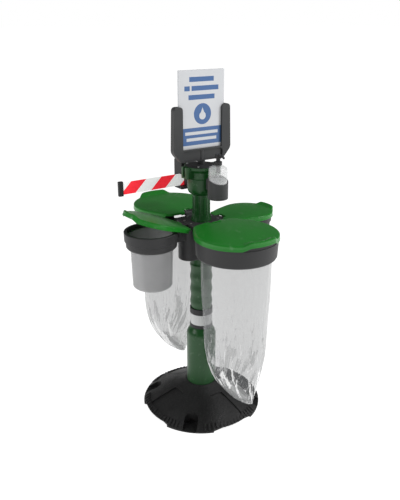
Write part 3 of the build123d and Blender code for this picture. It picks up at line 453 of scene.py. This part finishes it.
def complete(piece, finish, body, slot, *replaced, crease=35):
    """Shades a piece, gives it its finish and its body, and puts it in the place of CAD nodes."""
    bpy.ops.object.mode_set(mode="OBJECT")
    bpy.ops.object.select_all(action="DESELECT")
    piece.select_set(True)
    bpy.context.view_layer.objects.active = piece
    bpy.ops.object.shade_smooth_by_angle(angle=math.radians(crease))
    piece.data.materials.clear()
    piece.data.materials.append(finish.material)
    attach(piece, body)
    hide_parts(*replaced)
    piece.select_set(False)


def smooth(value):
    """0 up to 0, 1 from 1, and an even S between."""
    value = min(1, max(0, value))
    return value * value * (3 - 2 * value)


heading = {"front": -math.pi / 2, "back": math.pi / 2, "left": math.pi, "right": 0.0}
pin_reach = 0.098
pin_radius = 0.0025
lid_wall = 0.003
lid_end = 0.088  # post axis to a lid's straight end
lip_half = math.radians(24)
lip_slope = math.radians(13)
lid_radius = 0.163  # the large lids'
ring_reach = 0.243  # post axis to the middle of a large ring and of its lid
lid_rays = 160
lid_rings = (
    0.992, 0.98, 0.965, 0.95, 0.93, 0.905, 0.88, 0.85, 0.82, 0.78, 0.72, 0.64, 0.54, 0.42, 0.28, 0.14,
)
skirt_steps = 5
skirt_flare, skirt_bead = 0.0006, 0.0009  # how far a skirt leans out, and its hem stands proud
lip_rise = 0.015
lip_flare = 0.0085
ear_radius = 0.006
ear_from, ear_to = 0.0242, 0.0338
ear_clear, ear_sunk = 0.00006, 0.0012  # an ear's gap round its pin, and its depth in the lid's wall
notch_end, notch_half = 0.106, 0.0222  # the hinge notch, out from the post and to each side
notch_gap = 0.006  # from the notch to the first ray beside it, in radians
notch_rays = (math.radians(10), math.radians(12.5))  # the first ray beside the notch lies between
edge_round, round_from = 0.0036, 0.955  # the rounding, and where it starts as a share of the reach
inner_end = pin_reach + 0.010  # post axis to where a lid's inner end begins
inner_round = 0.3
drop_beside_ears, drop_over_hub = 0.0075, 0.0008  # the skirt's height at a lid's inner end
ajar = math.radians(18)


def outward(side, along, across, height):
    """A point given by its distance out from the post, its distance to the side, and its height."""
    turn = heading[side]
    out, right = Vector((math.cos(turn), math.sin(turn))), Vector((-math.sin(turn), math.cos(turn)))
    return (along * out + across * right).to_3d() + Vector((0, 0, height))


def outline(radius, reach, angle):
    """A lid's centre to its edge: a taut line round its disc and the two small inner corners."""
    corner = radius * 0.3
    discs = [(0, 0, radius)]
    discs += [(lid_end + corner - reach, hand * radius * 0.43, corner) for hand in (-1, 1)]
    shortest = radius * 2
    for step in range(-85, 86):
        normal = angle + math.radians(step)
        support = max(math.cos(normal) * x + math.sin(normal) * y + r for x, y, r in discs)
        shortest = min(shortest, support / math.cos(normal - angle))
    return shortest


def opened(side, point, pin_height, angle):
    """A point of a lid once the lid has been turned up about its pin."""
    turn = heading[side]
    pin = outward(side, pin_reach, 0, pin_height)
    return pin + Matrix.Rotation(angle, 3, Vector((math.sin(turn), -math.cos(turn), 0))) @ (point - pin)


def lid(side, reach, radius, skirt, crown, edge, pin_height, angle=0.0):
    """One lid: a disc inset ring by ring, with a skirt drawn down from its edge, laid over the dome."""
    bpy.ops.mesh.primitive_circle_add(vertices=lid_rays, radius=1, fill_type="NGON")
    piece = new_piece("lid_cover_" + side)
    inner = 1.0
    for ring in lid_rings:
        bpy.ops.mesh.inset(thickness=inner - ring)
        inner = ring
    bpy.ops.mesh.poke()
    pick(piece, "EDGE", lambda middle: math.hypot(middle.x, middle.y) > 0.997)
    for _ in range(skirt_steps):
        bpy.ops.mesh.extrude_edges_move(TRANSFORM_OT_translate={"value": (0, 0, -1 / skirt_steps)})
    notch_turn = math.atan2(notch_half, reach - notch_end)
    edges = {}

    def place(point):
        turn = math.atan2(point.y, point.x)
        share = min(1.0, math.hypot(point.x, point.y))
        if notch_rays[0] < math.pi - abs(turn) < notch_rays[1]:
            turn = math.copysign(math.pi - notch_turn - notch_gap, turn)
        key = round(turn, 4)
        if key not in edges:
            whole = outline(radius, reach, turn)
            cut = whole
            if math.pi - abs(turn) < notch_turn:
                cut = (notch_end - reach) / math.cos(turn)
            edges[key] = (whole, cut)
        whole, cut = edges[key]
        away = share * (whole + (cut - whole) * smooth((share - 0.84) / 0.15))
        lip = smooth((lip_half + lip_slope / 2 - abs(turn)) / lip_slope)
        raised = smooth((share - 0.80) / 0.19)
        height = edge + crown * (1 - (away / radius) ** 2)
        height += lip_rise * radius / lid_radius * lip * raised
        at_post = reach + away * math.cos(turn) < inner_end
        rounding = edge_round * (inner_round if at_post else 1)
        height -= rounding * smooth((share - round_from) / (1 - round_from)) ** 2
        away += lip_flare * lip * raised ** 2
        down = -point.z
        drop = skirt - edge_round
        if at_post:
            beside_ears = abs(away * math.sin(turn)) > ear_to + 0.003 and radius == lid_radius
            drop = drop_beside_ears if beside_ears else drop_over_hub
        height -= down * drop
        away += skirt_flare * down + skirt_bead * smooth((down - 0.6) / 0.2)
        return outward(side, reach + away * math.cos(turn), away * math.sin(turn), height)

    reshape(piece, place)
    modify(piece, "SOLIDIFY", thickness=lid_wall, offset=-1)

    # the ears: a round end about the pin, drawn up to the lid and given its width
    under = edge + crown * (1 - ((reach - pin_reach) / radius) ** 2) - lid_wall
    for low in (ear_from, -ear_to):
        bpy.ops.mesh.primitive_circle_add(vertices=32, radius=pin_radius + ear_clear)
        ear = new_piece("ear")
        bpy.ops.mesh.extrude_edges_move()
        bpy.ops.transform.resize(value=(ear_radius / pin_radius,) * 3)
        pick(ear, "VERT", lambda point: point.length > 0.004 and point.y > 0.0005)
        bpy.ops.transform.translate(value=(0, under + ear_sunk - pin_height - ear_radius, 0))
        bpy.ops.mesh.select_all(action="SELECT")
        bpy.ops.mesh.extrude_region_move(TRANSFORM_OT_translate={"value": (0, 0, ear_to - ear_from)})
        reshape(ear, lambda c: outward(side, pin_reach + c.x, low + c.z, pin_height + c.y))
        bpy.ops.object.mode_set(mode="EDIT")
        bpy.ops.mesh.select_all(action="SELECT")
        bpy.ops.mesh.normals_make_consistent(inside=False)
        bpy.ops.object.mode_set(mode="OBJECT")
        bpy.ops.object.select_all(action="DESELECT")
        ear.select_set(True)
        piece.select_set(True)
        bpy.context.view_layer.objects.active = piece
        bpy.ops.object.join()
    if angle:
        reshape(piece, lambda c: opened(side, c, pin_height, angle))
    complete(piece, lid_green, "lid_" + side, "green_lid", "lid_" + side)


lid_green = moulded_green("lid_green", (0.010, 0.175, 0.014), (0.014, 0.215, 0.020))
big_lid = {
    "reach": ring_reach, "radius": lid_radius, "skirt": 0.021, "crown": 0.008, "edge": 0.880,
    "pin_height": 0.868,
}
small_lid = {
    "reach": 0.236, "radius": 0.112, "skirt": 0.019, "crown": 0.006, "edge": 0.866, "pin_height": 0.856,
}
lid("front", **big_lid)
lid("back", **big_lid)
lid("right", **small_lid)
lid("left", **small_lid, angle=ajar)


# ------------------------------------------------------------------ cups and bags
# Smoked polypropylene cups hang by a flange in the small rings. Sacks of thin clear film are held
# in the large rings: round at the mouth, folded flat and creased towards the weld at the bottom.
smoked_cup = Finish("smoked_cup", Specular_IOR_Level=0.5, Alpha=0.46)
smoked_cup.feed(
    Base_Color=smoked_cup.noise(20, 3).blend((0.36, 0.36, 0.365), (0.42, 0.42, 0.425)),
    Roughness=0.30 + 0.12 * smoked_cup.noise(500, 2),
)
smoked_cup.relief(smoked_cup.noise(140, 2), 0.00010)
smoked_cup.on("cup_left", "cup_right")

clear_film = Finish("clear_film", Specular_IOR_Level=0.5)
stretch = {0: clear_film.place, 1: (1, 1, 0.10)}
drawn_down = clear_film.place.node("ShaderNodeVectorMath", {"operation": "MULTIPLY"}, stretch)
streaks = {"Vector": drawn_down, "Scale": 260, "Detail": 3, "Roughness": 0.6}
streak = clear_film.place.node("ShaderNodeTexNoise", None, streaks)
# Painted highlights: the crease attribute carries glints painted onto the film. Where it or the streak
# noise runs high, the film turns white and more opaque. The white streaks are partly stress-whitened
# film and partly painted highlight.
glint = clear_film.place.node("ShaderNodeAttribute", {"attribute_name": "crease"}, output="Fac")
flap = clear_film.place.node("ShaderNodeAttribute", {"attribute_name": "flap"}, output="Fac")
white_streak_and_glint = (streak + 0.40 * glint).between(0.66, 0.82)
milky = 0.35 * streak.between(0.35, 0.75)
film_tone = milky.blend((0.17, 0.175, 0.18), (0.27, 0.275, 0.28))
clear_film.feed(
    Base_Color=white_streak_and_glint.blend(flap.blend(film_tone, (0.80, 0.80, 0.802)), (0.95, 0.95, 0.95)),
    Alpha=0.35 + 0.07 * milky + 0.38 * flap + 0.5 * white_streak_and_glint,
    Roughness=0.18 + 0.1 * clear_film.noise(60, 2),
)

bag_sides, bag_rows = 224, 151
bag_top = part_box("bag_front")[1].z
bag_length = bag_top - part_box("bag_front")[0].z
bag_mouth = 0.1372
weld_half, weld_shift = 0.109, 0.014  # the weld's half length, and how far out it hangs
flat_from, flatness = 0.6, 0.74  # how far down a sack flattens, and by how much of its depth
flap_from, flap_lift = 0.95, 0.006  # how far down the two bottom flaps begin, and how they turn up
mouth_crease, low_crease = 0.0012, 0.0028


def bag(side, seed):
    """One sack: a tube of film, subdivided down its length, folded in towards the weld."""
    bpy.ops.mesh.primitive_cylinder_add(
        vertices=bag_sides, radius=1, depth=1, end_fill_type="NOTHING", location=(0, 0, -0.5)
    )
    piece = new_piece("film_bag_" + side)
    pick(piece, "EDGE", lambda middle: -0.6 < middle.z < -0.4)
    bpy.ops.mesh.subdivide(number_cuts=bag_rows - 1)

    def fold_depth(turn, down):
        """Long ridges that run down the film, with crumpled film between them near the weld."""
        spot = Vector((math.cos(turn), math.sin(turn), 0))
        ridge = 1 - 2 * abs(noise.noise(spot * 7 + Vector((0, 0, down * 1.6 + seed))))
        thin = 1 - 2 * abs(noise.noise(spot * 17 + Vector((0, 0, down * 3.0 + seed))))
        crumple = 1 - 2 * abs(noise.noise(spot * 9 + Vector((0, 0, down * 16 + seed))))
        low_down = smooth((down - 0.6) / 0.25)
        return 0.6 * ridge + 0.4 * thin + 0.35 * low_down * crumple

    def place(point):
        turn = math.atan2(point.y, point.x)
        down = -point.z
        fall = min(1.0, down / flap_from)
        along = bag_mouth - (bag_mouth - weld_half) * smooth((down - 0.3) / 0.7)
        across = bag_mouth * (1 - 0.08 * smooth((fall - 0.2) / 0.4))
        across *= 1 - flatness * max(0.0, (fall - flat_from) / (1 - flat_from)) ** 2.4
        across *= min(1.0, (1 - down) / (1 - flap_from))
        slack = smooth((down - 0.10) / 0.85)
        free = min(1.0, across / 0.012)
        push = mouth_crease * smooth((down - 0.09) / 0.1) + low_crease * slack
        push *= (fold_depth(turn, down) - 0.7) * free
        push *= 1 - 0.9 * smooth((down - 0.86) / 0.06)
        x = (along + push) * math.cos(turn)
        y = (across + push) * math.sin(turn)
        wave = 0.002 * smooth((down - 0.8) / 0.2) * math.sin(x * 40 + seed)
        lifted = flap_lift * smooth((down - flap_from) / (1 - flap_from))
        height = bag_top - bag_length * fall + lifted
        return outward(side, ring_reach + weld_shift * down ** 2 + x, y + wave, height)

    bpy.ops.object.mode_set(mode="OBJECT")
    flat_points = [point.co.copy() for point in piece.data.vertices]
    reshape(piece, place)
    # The crease attribute is painted highlight: glints in crumpled patches over the film's lower part
    # and white splashes about four fifths down. It also holds lines along the flap fold and the weld.
    painted_glints_and_seams = piece.data.attributes.new("crease", "FLOAT", "POINT")
    flaps = piece.data.attributes.new("flap", "FLOAT", "POINT")
    for number, point in enumerate(flat_points):
        turn = math.atan2(point.y, point.x)
        down = -point.z
        flap = smooth((down - flap_from + 0.004) / 0.008)
        spot = Vector((math.cos(turn), math.sin(turn), 0))
        patch = noise.noise(spot * 5 + Vector((0, 0, down * 6 + seed)))
        speck = noise.noise(spot * 16 + Vector((0, 0, down * 12 + seed)))
        level = smooth((down - 0.36) / 0.42) * (1 - flap)
        edge = 0.5 * smooth(1 - abs(down - flap_from) / 0.006) + 2 * smooth((down - 0.984) / 0.006)
        splash_highlight = smooth((patch + 0.25 - 6 * abs(down - 0.82)) / 0.3)
        value = level * (0.22 + 0.6 * patch + 0.6 * speck)
        value += 0.7 * splash_highlight * (1 - flap) * (0.6 + speck) + edge
        painted_glints_and_seams.data[number].value = value
        flaps.data[number].value = flap
    complete(piece, clear_film, "station", "clear_film", "bag_" + side, crease=80)


bag("front", 3)
bag("back", 8)


# ------------------------------------------------------------------ the belt
# A taut red and white strap of woven polyester, 50 mm wide, runs out of the case to a moulded end
# clip. The rest of it is wound on a spring spool inside the case.
# Painted light: the strap glows in its own red and white, so it looks brightly lit whatever light the
# lamps give it.
webbing = Finish("webbing", Specular_IOR_Level=0.3, Emission_Strength=0.50)
stripe_pitch = 0.1385
stripe_lean = 1.015
red_part, stripe_edge = 0.5, 0.010  # the red share of a pitch, and how soft its edges are
first_red = 0.253  # post axis to the first red stripe, along the strap's top edge
thread_long, thread_cross = 0.0012, 0.0009
selvedge = 0.0022
strap_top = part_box("belt_tape")[1].z
stripe = ((webbing.x + first_red - (webbing.z - strap_top) * stripe_lean) / stripe_pitch) % 1.0
red_share = stripe.between(0.0, stripe_edge) * (1 - stripe.between(red_part - stripe_edge, red_part))
thread_run = webbing.x.math("SINE", webbing.x * (2 * math.pi / thread_long))
thread_up = webbing.z.math("SINE", webbing.z * (2 * math.pi / thread_cross))
weave = thread_run * thread_up
red = webbing.noise(70, 3).blend((0.86, 0.020, 0.035), (0.98, 0.032, 0.052))
white = webbing.noise(50, 4).blend((0.82, 0.82, 0.82), (0.92, 0.92, 0.92))
webbing.feed(
    Base_Color=red_share.blend(white, red),
    Emission_Color=red_share.blend(white, red),
    Roughness=0.62 + 0.1 * weave,
)
webbing.relief(weave, 0.00012)
webbing.on("belt_roll")

tape_low, tape_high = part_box("belt_tape")
tape_middle = (tape_low + tape_high) / 2
tape_size = tape_high - tape_low
bpy.ops.mesh.primitive_cube_add(size=1, location=tape_middle, scale=tape_size)
strap = new_piece("belt_strap")
pick(strap, "EDGE", lambda middle: abs(middle.x - tape_middle.x) < 0.01)
bpy.ops.mesh.subdivide(number_cuts=48)
pick(strap, "FACE", lambda middle: abs(middle.y - tape_middle.y) > 0.0004)
bpy.ops.mesh.inset(thickness=selvedge)
bpy.ops.transform.resize(value=(1, 0.82, 1), center_override=tape_middle)
bpy.ops.object.mode_set(mode="OBJECT")
modify(strap, "BEVEL", width=0.00025, segments=2, limit_method="ANGLE")
complete(strap, webbing, "station", "belt_webbing", "belt_tape")
pull = next(joint for joint in frame["joints"] if joint["name"] == "belt_pull")["range_m"][1]
strap_left = (tape_size.x - pull) / tape_size.x
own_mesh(strap)

spring_steel = Finish("spring_steel", Metallic=1.0)
spring_steel.feed(
    Base_Color=spring_steel.noise(80, 3).blend((0.44, 0.45, 0.47), (0.56, 0.57, 0.58)),
    Roughness=0.24 + 0.1 * spring_steel.noise(600, 2),
)
spring_steel.on("belt_spring")


# ------------------------------------------------------------------ the sign
# A grooved plastic holder on a swivelling stem takes a rigid board from above. The board carries a
# printed sheet with bars for text, a round drop mark and a blue panel.
sign_grey = moulded_black("sign_grey", (0.034, 0.035, 0.036), (0.080, 0.080, 0.083), 1500)
sign_grey.on("sign_holder", "sign_pole", "bottle_bracket")
sign_board = Finish("sign_board", Specular_IOR_Level=0.5)
sign_board.feed(
    Base_Color=sign_board.noise(7, 3).blend((0.58, 0.59, 0.61), (0.64, 0.65, 0.67)),
    Roughness=0.22 + 0.08 * sign_board.noise(400, 2),
)
sign_board.on("sign_panel")

printed = Finish("printed_sheet", Specular_IOR_Level=0.5, Coat_Weight=0.25, Coat_Roughness=0.2)
rise = printed.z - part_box("sign_print")[1].z


def bar(left, right, top, bottom):
    """1 inside a bar on the printed sheet: sides from its middle line, heights down from its top."""
    sides = (printed.x > left) * (printed.x < right)
    return sides * (rise < -top) * (rise > -bottom)


def round_spot(down, radius):
    """1 inside a round spot on the mark's upright line, at its place down the sheet."""
    return ((printed.x - mark_across) ** 2.0 + (rise + down) ** 2.0) < radius * radius


line_high, word_gap = 0.018, 0.008
small_line_high = 0.012
mark_across = 0.004
drop_tip, drop_neck, drop_slope = 0.139, 0.163, 0.42
lines = bar(-0.056, 0.056, 0.024, 0.024 + line_high) + bar(-0.060, 0.060, 0.090, 0.090 + line_high)
parted = bar(-0.078, 0.078, 0.057, 0.057 + line_high)
parting = bar(-0.050 - word_gap / 2, -0.050 + word_gap / 2, 0.057, 0.057 + line_high)
lines = lines + parted * (1 - parting)
drop_point = abs(printed.x - mark_across) < (rise + drop_tip) * -drop_slope
drop_point = drop_point * (rise > -drop_neck) * (rise < -drop_tip)
disc = round_spot(0.163, 0.040) * (1 - round_spot(0.170, 0.015).most(drop_point))
panel = bar(-0.094, 0.094, 0.214, 0.281)
for top, half in ((0.229, 0.076), (0.253, 0.070)):
    panel = panel * (1 - bar(-half, half, top, top + small_line_high))
blue_share = (lines + disc + panel).least(1.0)
ink = printed.noise(300, 3).blend((0.042, 0.115, 0.290), (0.055, 0.135, 0.325))
paper = printed.noise(9, 3).blend((0.56, 0.57, 0.59), (0.63, 0.64, 0.66))
printed.feed(
    Base_Color=blue_share.blend(paper, ink),
    Roughness=0.26 + 0.06 * printed.noise(500, 2) + 0.06 * blue_share,
)
printed.on("sign_print")


# ------------------------------------------------------------------ the bottle
# A clear bottle of hand gel stands in a cup on the head. Its black pump head sprays outwards and
# is pushed down against a small coil spring.
clear_plastic = Finish("clear_plastic", Specular_IOR_Level=0.6, Alpha=0.22)
clear_plastic.feed(
    Base_Color=clear_plastic.noise(30, 2).blend((0.80, 0.81, 0.82), (0.9, 0.9, 0.9)),
    Roughness=0.07 + 0.05 * clear_plastic.noise(90, 2),
)
clear_plastic.on("bottle", "dip_tube")
gel = Finish("hand_gel", Specular_IOR_Level=0.5, Alpha=0.86)
bubbles = gel.noise(60, 3).between(0.3, 0.8)
gel.feed(
    Base_Color=bubbles.blend((0.62, 0.63, 0.64), (0.50, 0.51, 0.52)),
    Roughness=0.10 + 0.08 * gel.noise(80, 2),
)
gel.on("bottle_gel")

spring_low, spring_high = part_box("pump_spring")
spring_middle = (spring_low + spring_high) / 2
spring_length = spring_high.z - spring_low.z
wire_radius = 0.0005
coil_radius = (spring_high.x - spring_low.x) / 2 - wire_radius
coil_turns = 6
coil_steps = 24 * coil_turns
bpy.ops.mesh.primitive_circle_add(vertices=10, radius=wire_radius, rotation=(math.pi / 2, 0, 0))
coil = new_piece("pump_coil")
reshape(coil, lambda point: point + Vector((coil_radius, 0, wire_radius)))
modify(
    coil, "SCREW", angle=2 * math.pi * coil_turns, screw_offset=spring_length - 2 * wire_radius,
    steps=coil_steps, render_steps=coil_steps, axis="Z",
)
reshape(coil, lambda point: point + Vector((spring_middle.x, spring_middle.y, spring_low.z)))
pick(coil, "EDGE", lambda middle: False)
bpy.ops.mesh.select_non_manifold()
bpy.ops.mesh.edge_face_add()
bpy.ops.mesh.select_all(action="SELECT")
bpy.ops.mesh.normals_make_consistent(inside=False)
complete(coil, spring_steel, "bottle", "spring_steel", "pump_spring")
press = next(joint for joint in frame["joints"] if joint["name"] == "pump_press")["range_m"][1]
max(0.3, (spring_length - press) / spring_length)
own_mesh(coil)
